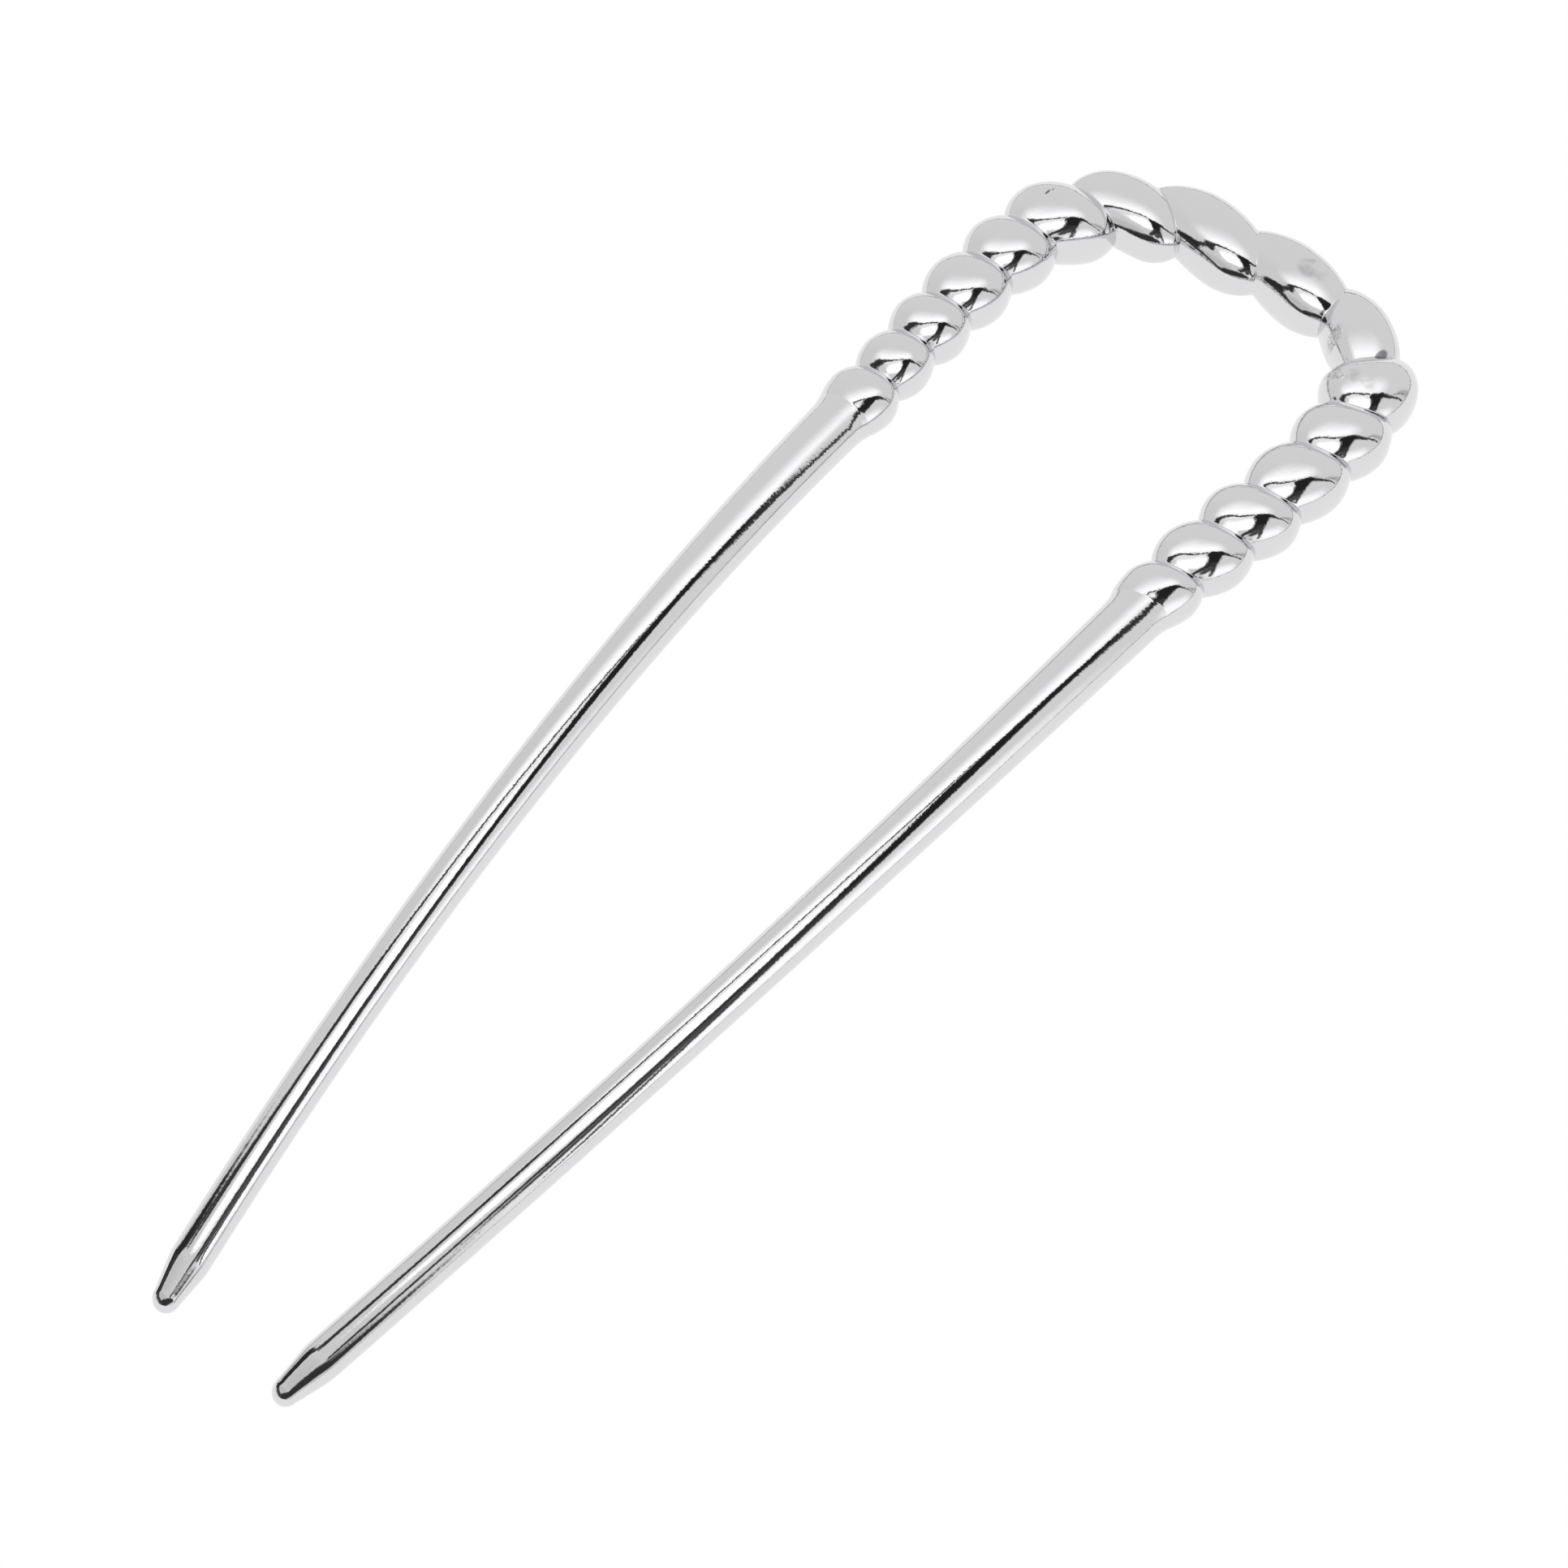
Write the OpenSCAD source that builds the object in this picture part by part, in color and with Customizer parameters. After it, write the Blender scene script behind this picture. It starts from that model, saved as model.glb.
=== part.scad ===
// A u-shaped hairpin: two tapered prongs, joined by a bow of slanted beads that swell and shrink.
// The real pin is one plated moulding, so the beads, collars and prongs are one solid.
// It lies on a table as it would by itself: +Y runs along the pin to its bow, +X to its right
// prong, +Z up, and z = 0 is the table. All sizes are millimetres and all angles degrees.

/* [Prongs] */
// Length of a prong from its collar to its tip
prong_length = 90; // [75:1:105]
// Distance between the prongs' centre lines at the collars
collar_span = 30; // [26:0.5:34]
// Distance between the prongs' centre lines at the tips
tip_span = 11.2; // [9:0.2:16]
// How far a prong bows outward between its ends
prong_bow = 1.6; // [0:0.1:3]
// Diameter of a prong at its collar
collar_d = 4.8; // [4.2:0.1:5.4]
// Diameter of a prong where its point starts
tip_d = 3.1; // [2.6:0.1:4]
// Length of the point
point_length = 3.9; // [3:0.1:6]
// Radius of the blunt end of the point
nose_r = 1.05; // [0.8:0.05:1.25]
// How far a prong widens to each side where it meets its collar
flare = 0.2; // [0:0.05:0.3]
// Length over which it widens
flare_length = 1.6; // [1:0.1:3]
// Share by which a prong is less thick than wide at its collar
collar_flatness = 0.1; // [0:0.02:0.2]

/* [Bow] */
// Length of the bow's centre line beyond the collars
bow_length = 37.7; // [35:0.1:41]
// Half the width of the bow's centre line at its widest
bow_half_width = 16.45; // [15.5:0.05:18]
// How far beyond the collars the bow is widest
bow_widest_at = 21.8; // [18:0.2:25]
// Squareness of the arch, where 2 is an ellipse
bow_squareness = 2.85; // [2:0.05:3.4]
// How far the sides of the bow lean toward the right prong
bow_lean = 0.35; // [0:0.05:0.5]

/* [Side view] */
// How far the middle of the pin arches above a straight line from tips to bow
rise = 5.5; // [0:0.1:8]
// How much that arch leans toward the bow
rise_skew = 0.07; // [0:0.01:0.2]
// Height of the centre line at the tips
tip_height = 0.88; // [0.8:0.02:1.6]
// Height of the centre line at the top of the bow
bow_height = 3.04; // [2.8:0.02:4]

/* [Beads] */
// Width of a crease as a share of the beads beside it
crease_share = 0.72; // [0.6:0.01:0.85]
// Thickness of a crease as a share of the beads beside it
crease_thickness_share = 0.66; // [0.55:0.01:0.8]
// Thickness of a bead as a share of the mean width of it and the bead facing it
thickness_share = 0.82; // [0.7:0.01:0.95]
// Fullness of a bead along the bow, where 2 is an ellipse
bead_fullness = 1.8; // [1.6:0.1:2.4]
// Squareness of a bead's section, where 2 is an ellipse
bead_squareness = 2.4; // [2:0.1:2.8]
// Length over which a bead grows square from its collar
squaring_length = 2.5; // [1:0.5:4]
// How far the row of beads is shifted toward the right prong
bead_shift = 0.4; // [0:0.1:0.8]

/* [Hidden] */

// One row for each bead, from the left collar round the bow to the right collar.
// The columns are the bead's length along the bow, its width, how far it is slanted in plan, and
// how far its creases lean along the bow above and below the middle of its thickness.
LENGTH = 0;
WIDTH = 1;
SLANT = 2;
LEAN = 3;
BEADS = [
    [4.5, 6.0, -1, -1],
    [5.1, 5.9, -4, -2],
    [5.2, 6.4, -4, -4],
    [6.0, 6.9, -4, -6],
    [5.9, 7.3, -2, -8],
    [6.9, 8.1, -16, -10],
    [6.5, 7.9, -34, -3],
    [8.3, 7.5, -34, 5],
    [8.4, 6.7, -27, 3],
    [7.1, 6.1, -10, 7],
    [6.0, 8.0, -8, 14],
    [5.9, 7.5, -11, 10],
    [6.5, 7.2, -11, 14],
    [5.6, 7.2, -12, 14],
    [5.9, 6.8, -13, 11],
    [4.5, 5.9, -14, 6],
];
bead_count = len(BEADS);

// How finely the surface is divided
sides = 20;
bead_steps = 8;
nose_steps = 3;
point_steps = 3;
shaft_steps = 16;
flare_steps = 2;
prong_plan_steps = 45;
side_plan_steps = 12;
arch_plan_steps = 45;

// Half the step between the two places that give the course's direction
probe = 0.4;

function clamp(value) = min(1, max(0, value));
function sum(list, i = 0) = i == len(list) ? 0 : list[i] + sum(list, i + 1);

// The prong, where u runs from 0 at its collar to 1 at its tip
function prong_plan(u) = [
    (collar_span + (tip_span - collar_span) * u) / 2 + 4 * prong_bow * u * (1 - u),
    -prong_length * u,
];

// The side of the bow, a cubic that leaves the collar along the prong and ends along the pin
collar_slope = ((collar_span - tip_span) / 2 - 4 * prong_bow) / prong_length;
function side_plan(t) = [
    (2 * t ^ 3 - 3 * t ^ 2 + 1) * collar_span / 2
        + (t ^ 3 - 2 * t ^ 2 + t) * bow_widest_at * collar_slope
        + (3 * t ^ 2 - 2 * t ^ 3) * bow_half_width,
    bow_widest_at * t,
];

// The arch, a quarter of a superellipse
function arch_plan(angle) = [
    bow_half_width * cos(angle) ^ (2 / bow_squareness),
    bow_widest_at + (bow_length - bow_widest_at) * sin(angle) ^ (2 / bow_squareness),
];

// The course is the plan of the centre line from the left tip round the bow to the right tip
right_half = concat(
    [for (i = [0:prong_plan_steps]) prong_plan(1 - i / prong_plan_steps)],
    [for (i = [1:side_plan_steps]) side_plan(i / side_plan_steps)],
    [for (i = [1:arch_plan_steps]) arch_plan(90 * i / arch_plan_steps)]
);
half_count = len(right_half);
plan = concat(
    [for (p = right_half) [-p.x, p.y]],
    [for (i = [half_count - 2:-1:0]) right_half[i]]
);
plan_count = len(plan);
function plan_step(i) = i < plan_count ? norm(plan[i] - plan[i - 1]) : 0;
stations = [for (i = 0, s = 0; i < plan_count; i = i + 1, s = s + plan_step(i)) s];
x_table = [for (i = [0:plan_count - 1]) [stations[i], plan[i].x]];
y_table = [for (i = [0:plan_count - 1]) [stations[i], plan[i].y]];
course_length = stations[plan_count - 1];
collar_station = stations[prong_plan_steps];
bow_course = course_length - 2 * collar_station;

function left_of(direction) = [-direction.y, direction.x];
function drawn_point(s) = [lookup(s, x_table), lookup(s, y_table)];
function drawn_direction(s) =
    let (step = drawn_point(s + probe) - drawn_point(s - probe))
    step / norm(step);

// The drawn bow leans: both its sides move the same way, and its top stays where it is
function course_point(s) =
    drawn_point(s)
    - bow_lean * sin(360 * clamp((s - collar_station) / bow_course)) * left_of(drawn_direction(s));
function course_direction(s) =
    let (step = course_point(s + probe) - course_point(s - probe))
    step / norm(step);

// Height of the centre line, a skewed parabola along the pin
function centre_height(y) =
    let (u = (y + prong_length) / (prong_length + bow_length))
    tip_height + (bow_height - tip_height) * u
    + 4 * rise * u * (1 - u) * (1 + rise_skew * (2 * u - 1));

// A section is a ring round the course: where it is, its half width, half thickness and slant, how
// far its top and bottom are carried along the course, and its squareness.
// A slanted ring is bent along the course, so its outer side trails and its inner side leads.
function spread(wave, squareness) = sign(wave) * abs(wave) ^ (2 / squareness);
function ring(section) = [
    for (i = [0:sides - 1])
        let (
            out = section[1] * spread(cos(360 * i / sides), section[5]),
            up = spread(sin(360 * i / sides), section[5]),
            s = section[0] + out * tan(section[3]) + section[4] * up ^ 2,
            p = course_point(s),
            q = p + out * left_of(course_direction(s))
        )
        [q.x, q.y, centre_height(p.y) + section[2] * up]
];

// The beads fill the bow between the two collars
bead_scale = bow_course / sum([for (b = BEADS) b[LENGTH]]);
function crease_station(i) =
    collar_station + bead_shift
    + bead_scale * sum([for (j = [0:1:i - 1]) BEADS[j][LENGTH]]);
function facing(i) = bead_count - 1 - i;
function half_width(i) = BEADS[i][WIDTH] / 2;
function half_thickness(i) = thickness_share * (half_width(i) + half_width(facing(i))) / 2;

// A crease lies between bead i - 1 and bead i, and the first and last meet the prongs
collar_r = collar_d / 2;
function at_collar(i) = i == 0 || i == bead_count;
function crease_half_width(i) =
    at_collar(i) ? collar_r + flare : crease_share * (half_width(i - 1) + half_width(i)) / 2;
function crease_half_thickness(i) =
    at_collar(i) ? collar_r * (1 - collar_flatness)
    : crease_thickness_share * (half_thickness(i - 1) + half_thickness(i)) / 2;
function crease_slant(i) =
    (BEADS[max(0, i - 1)][SLANT] + BEADS[min(bead_count - 1, i)][SLANT]) / 2;

function crease_lean(i) = at_collar(i) ? 0 : (BEADS[i - 1][LEAN] + BEADS[i][LEAN]) / 2;

// A bead's outline: full at its middle, where v is 0, and down to a crease where v is -1 or 1
function swell(full, before, after, v) =
    let (crease = v < 0 ? before : after)
    full * sqrt(1 - (1 - (crease / full) ^ 2) * abs(v) ^ bead_fullness);

// A ring's squareness is an ellipse's at the collars, and the beads' own a short way into the bow
function squareness_at(s) =
    let (away = min(s - crease_station(0), crease_station(bead_count) - s))
    2 + (bead_squareness - 2) * clamp(away / squaring_length);

// A bead's lean is all at its creases, and its middle stays upright
function bead_section(i, u) =
    let (
        v = 2 * u - 1,
        s = crease_station(i) * (1 - u) + crease_station(i + 1) * u,
        thick = swell(half_thickness(i), crease_half_thickness(i), crease_half_thickness(i + 1), v),
        lean = crease_lean(i) * (1 - u) + crease_lean(i + 1) * u
    )
    [
        s,
        swell(half_width(i), crease_half_width(i), crease_half_width(i + 1), v),
        thick,
        crease_slant(i) * (1 - u) + crease_slant(i + 1) * u,
        thick * tan(lean) * v ^ 2,
        squareness_at(s),
    ];
bead_sections = [
    for (i = [0:bead_count - 1], k = [0:bead_steps - 1]) bead_section(i, k / bead_steps)
];

// Radius of a prong at a distance from its tip: a round nose, a cone, then a slow taper
function shaft_r(d) = (tip_d + (collar_d - tip_d) * (d / prong_length) ^ 2) / 2;
function prong_r(d) =
    d < nose_r ? sqrt(nose_r ^ 2 - (nose_r - d) ^ 2)
    : d < point_length
        ? nose_r + (shaft_r(point_length) - nose_r) * (d - nose_r) / (point_length - nose_r)
    : shaft_r(d);

// Distances from the tip at which a prong of the given length has a section
function prong_distances(length) = concat(
    [for (i = [1:nose_steps]) nose_r * (1 - cos(90 * i / nose_steps))],
    [for (i = [1:point_steps]) nose_r + (point_length - nose_r) * i / point_steps],
    [for (i = [1:shaft_steps]) point_length + (length - flare_length - point_length) * i / shaft_steps],
    [for (i = [1:flare_steps - 1]) length - flare_length * (1 - i / flare_steps)]
);

// The rings of a prong turn to its collar's slant over the last part of it, and grow flatter all
// along it
turning_share = 1 / 8;
function prong_section(d, length, slant) =
    let (
        r = prong_r(d),
        flared = flare * clamp(1 - (length - d) / flare_length) ^ 2,
        turn = clamp(1 - (length - d) / (turning_share * length))
    )
    [d, r + flared, r * (1 - collar_flatness * clamp(d / prong_length)), slant * turn, 0, 2];

left_length = crease_station(0);
right_length = course_length - crease_station(bead_count);
left_sections = [
    for (d = prong_distances(left_length)) prong_section(d, left_length, crease_slant(0))
];
right_distances = concat(prong_distances(right_length), [right_length]);
right_sections = [
    for (i = [len(right_distances) - 1:-1:0])
        let (section = prong_section(right_distances[i], right_length, crease_slant(bead_count)))
        [course_length - section[0], section[1], section[2], section[3], section[4], section[5]]
];
sections = concat(left_sections, bead_sections, right_sections);

// The skin joins each ring to the next one and closes both tips with a fan
function tip_point(s) = let (p = course_point(s)) [p.x, p.y, centre_height(p.y)];
ring_count = len(sections);
drawn_points = concat(
    [for (section = sections) each ring(section)],
    [tip_point(0), tip_point(course_length)]
);

// The origin is on the table, under the middle of the pin's length and width
across = [for (p = drawn_points) p.x];
along = [for (p = drawn_points) p.y];
up = [for (p = drawn_points) p.z];
origin = [(min(across) + max(across)) / 2, (min(along) + max(along)) / 2, min(up)];
skin_points = [for (p = drawn_points) p - origin];

first_tip = ring_count * sides;
last_tip = first_tip + 1;
function corner(k, i) = k * sides + i % sides;
skin_faces = concat(
    [for (i = [0:sides - 1]) [first_tip, corner(0, i), corner(0, i + 1)]],
    [
        for (k = [0:ring_count - 2], i = [0:sides - 1], half = [0, 1])
            half == 0
                ? [corner(k, i), corner(k + 1, i), corner(k + 1, i + 1)]
                : [corner(k, i), corner(k + 1, i + 1), corner(k, i + 1)]
    ],
    [for (i = [0:sides - 1]) [last_tip, corner(ring_count - 1, i + 1), corner(ring_count - 1, i)]]
);

module hairpin() {
    color([0.86, 0.86, 0.87])
        polyhedron(points = skin_points, faces = skin_faces, convexity = 6);
}

hairpin();
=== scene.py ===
"""Looks of a u-shaped hairpin: one chrome-plated moulding, two bare prongs joined by a beaded bow.

Sizes are in millimetres where a name or docstring says so. Meshes are in metres in the row frame:
+Y along the pin to its bow, +X to its right prong, +Z up, the table at z = 0.
"""

import logging  # noqa: E402
import math  # noqa: E402
from dataclasses import dataclass, field, fields  # noqa: E402
from enum import Enum  # noqa: E402
from typing import Any, Union  # noqa: E402

import bpy  # noqa: E402
import numpy as np  # noqa: E402
from mathutils import Matrix, Vector  # noqa: E402

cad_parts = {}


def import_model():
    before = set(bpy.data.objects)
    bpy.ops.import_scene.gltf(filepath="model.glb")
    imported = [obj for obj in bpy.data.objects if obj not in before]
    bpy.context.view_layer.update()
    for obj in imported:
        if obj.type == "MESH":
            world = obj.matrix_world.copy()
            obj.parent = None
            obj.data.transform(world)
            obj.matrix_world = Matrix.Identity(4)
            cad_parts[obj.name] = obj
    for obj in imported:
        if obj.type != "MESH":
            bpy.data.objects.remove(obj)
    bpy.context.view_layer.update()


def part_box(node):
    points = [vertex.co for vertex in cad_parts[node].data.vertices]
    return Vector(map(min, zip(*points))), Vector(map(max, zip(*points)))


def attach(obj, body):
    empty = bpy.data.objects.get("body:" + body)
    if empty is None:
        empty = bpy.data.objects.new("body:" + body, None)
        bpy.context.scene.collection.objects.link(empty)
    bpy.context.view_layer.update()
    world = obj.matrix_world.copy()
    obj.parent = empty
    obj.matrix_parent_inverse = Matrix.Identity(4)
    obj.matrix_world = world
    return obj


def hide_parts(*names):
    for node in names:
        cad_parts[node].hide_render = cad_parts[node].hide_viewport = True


log = logging.getLogger("hairpin")

MM = 0.001
WHITE = (1.0, 1.0, 1.0, 1.0)
Array = np.ndarray
Colour = tuple[float, float, float]


class Side(Enum):
    """Which end of the course a prong is at."""

    LEFT = "left"
    RIGHT = "right"


@dataclass(frozen=True)
class Bead:
    """One swelling of the bow.

    Attributes:
        length: Its length along the course, in mm.
        width: Its width at its middle, in mm.
        slant: How far it is turned in plan, in degrees.
        lean: How far its creases lean along the course above and below mid thickness, in degrees.
    """

    length: float
    width: float
    slant: float
    lean: float


BEADS: tuple[Bead, ...] = (
    Bead(length=4.5, width=6.0, slant=-1, lean=-1),
    Bead(length=5.1, width=5.9, slant=-4, lean=-2),
    Bead(length=5.2, width=6.4, slant=-4, lean=-4),
    Bead(length=6.0, width=6.9, slant=-4, lean=-6),
    Bead(length=5.9, width=7.3, slant=-2, lean=-8),
    Bead(length=6.9, width=8.1, slant=-16, lean=-10),
    Bead(length=6.5, width=7.9, slant=-34, lean=-3),
    Bead(length=8.3, width=7.5, slant=-34, lean=5),
    Bead(length=8.4, width=6.7, slant=-27, lean=3),
    Bead(length=7.1, width=6.1, slant=-10, lean=7),
    Bead(length=6.0, width=8.0, slant=-8, lean=14),
    Bead(length=5.9, width=7.5, slant=-11, lean=10),
    Bead(length=6.5, width=7.2, slant=-11, lean=14),
    Bead(length=5.6, width=7.2, slant=-12, lean=14),
    Bead(length=5.9, width=6.8, slant=-13, lean=11),
    Bead(length=4.5, width=5.9, slant=-14, lean=6),
)


@dataclass(frozen=True)
class Sections:
    """Rings round the course, one entry for each ring, in order along it.

    Attributes:
        station: How far along the course each ring is, in mm.
        half_width: Half of each ring's size across the course in plan, in mm.
        half_thickness: Half of each ring's height, in mm.
        slant: How far each ring is turned in plan, in degrees.
        carried: How far each ring's top and bottom are carried along the course, in mm.
        squareness: Power of the superellipse that each ring is, where 2 is an ellipse.
    """

    station: Array
    half_width: Array
    half_thickness: Array
    slant: Array
    carried: Array
    squareness: Array

    @staticmethod
    def joined(parts: "list[Sections]") -> "Sections":
        """Several rows of rings one after another."""
        rows = ([getattr(part, entry.name) for part in parts] for entry in fields(Sections))
        return Sections(*map(np.concatenate, rows))


@dataclass
class Course:
    """The centre line of the whole pin, from the left tip round the bow to the right tip.

    Every size is in mm. The plan is drawn for the right half and mirrored, and the height is a
    function of how far along the pin a point is.

    Attributes:
        prong_length: From the tips to the collars, along y.
        collar_span: Between the middles of the two prongs at the collars.
        tip_span: The same at the tips.
        prong_bow: How far each prong bows outward at its middle.
        bow_length: From the collars to the top of the arch, along y.
        bow_half_width: Half of the course's own width where the bow is widest.
        bow_widest_at: How far past the collars that is.
        bow_squareness: Power of the superellipse that the arch is.
        bow_lean: How far the sides of the bow are moved to the right.
        rise: How far the pin arches above the line from its tips to its bow.
        rise_skew: How much that arch is skewed toward the bow.
        tip_height: Height of the centre line at the tips.
        bow_height: Its height at the top of the bow.
        samples: How many places the course is sampled at.
        station: How far along the course they are.
        point: Where they are in plan.
        direction: The unit direction of the course there.
        collar_station: How far along the course the left collar is.
    """

    prong_length: float = 90.0
    collar_span: float = 30.0
    tip_span: float = 11.2
    prong_bow: float = 1.6
    bow_length: float = 37.7
    bow_half_width: float = 16.45
    bow_widest_at: float = 21.8
    bow_squareness: float = 2.85
    bow_lean: float = 0.35
    rise: float = 5.5
    rise_skew: float = 0.07
    tip_height: float = 0.88
    bow_height: float = 3.04
    samples: int = 6001
    station: Array = field(init=False)
    point: Array = field(init=False)
    direction: Array = field(init=False)
    collar_station: float = field(init=False)

    def __post_init__(self) -> None:
        """Samples the plan evenly along its length and leans the bow sideways."""
        right = np.concatenate([self.prong_plan(), self.side_plan()[1:], self.arch_plan()[1:]])
        drawn = np.concatenate([right * (-1, 1), right[::-1][1:]])
        steps = np.hypot(*np.diff(drawn, axis=0).T)
        drawn_station = np.concatenate([[0.0], np.cumsum(steps)])
        self.station = np.linspace(0, drawn_station[-1], self.samples)
        even = self.read_off(self.station, drawn_station, drawn)
        half = self.samples // 2
        self.collar_station = float(np.interp(0, even[:half, 1], self.station[:half]))
        share = np.clip((self.station - self.collar_station) / self.bow_course, 0, 1)
        aside = -self.bow_lean * np.sin(2 * np.pi * share)
        self.point = even + aside[:, None] * self.left_of(self.slope(even))
        self.direction = self.slope(self.point)

    @property
    def length(self) -> float:
        """Length of the centre line in plan, in mm."""
        return float(self.station[-1])

    @property
    def bow_course(self) -> float:
        """Length of the bow's centre line from collar to collar, in mm."""
        return self.length - 2 * self.collar_station

    def prong_plan(self, count: int = 200) -> Array:
        """The right prong from tip to collar: a line, and a parabola that bows it outward."""
        u = np.linspace(1, 0, count)
        near, far = self.collar_span / 2, self.tip_span / 2
        x = near + (far - near) * u + 4 * self.prong_bow * u * (1 - u)
        return np.stack([x, -self.prong_length * u], axis=1)

    def side_plan(self, count: int = 100) -> Array:
        """The right side of the bow: a cubic that leaves along the prong and ends along y."""
        t = np.linspace(0, 1, count)
        slope = ((self.collar_span - self.tip_span) / 2 - 4 * self.prong_bow) / self.prong_length
        x = (
            (2 * t**3 - 3 * t**2 + 1) * self.collar_span / 2
            + (t**3 - 2 * t**2 + t) * self.bow_widest_at * slope
            + (3 * t**2 - 2 * t**3) * self.bow_half_width
        )
        return np.stack([x, self.bow_widest_at * t], axis=1)

    def arch_plan(self, count: int = 400) -> Array:
        """The right half of the arch: a quarter of a superellipse."""
        turn = np.linspace(0, np.pi / 2, count)
        power = 2 / self.bow_squareness
        x = self.bow_half_width * np.clip(np.cos(turn), 0, None) ** power
        y = self.bow_widest_at + (self.bow_length - self.bow_widest_at) * np.sin(turn) ** power
        return np.stack([x, y], axis=1)

    def slope(self, points: Array) -> Array:
        """Unit direction of the course at each sampled point."""
        step = np.gradient(points, self.station, axis=0)
        return step / np.linalg.norm(step, axis=1, keepdims=True)

    @staticmethod
    def left_of(direction: Array) -> Array:
        """Directions in plan turned a quarter turn to the left."""
        return np.stack([-direction[..., 1], direction[..., 0]], axis=-1)

    @staticmethod
    def read_off(station: Array, known: Array, values: Array) -> Array:
        """x and y at some stations, drawn straight between the values at the known ones."""
        return np.stack([np.interp(station, known, values[:, k]) for k in (0, 1)], axis=-1)

    def at(self, station: Array) -> tuple[Array, Array]:
        """Finds the course in plan.

        Args:
            station: Distances along the course in mm, in an array of any shape.

        Returns:
            The points and the unit directions there, each with one more axis of two.
        """
        point = self.read_off(station, self.station, self.point)
        way = self.read_off(station, self.station, self.direction)
        return point, way / np.linalg.norm(way, axis=-1, keepdims=True)

    def height(self, y: Array) -> Array:
        """Height of the centre line: a parabola along the pin, skewed a little toward the bow."""
        u = (y + self.prong_length) / (self.prong_length + self.bow_length)
        line = self.tip_height + (self.bow_height - self.tip_height) * u
        return line + 4 * self.rise * u * (1 - u) * (1 + self.rise_skew * (2 * u - 1))


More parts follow.
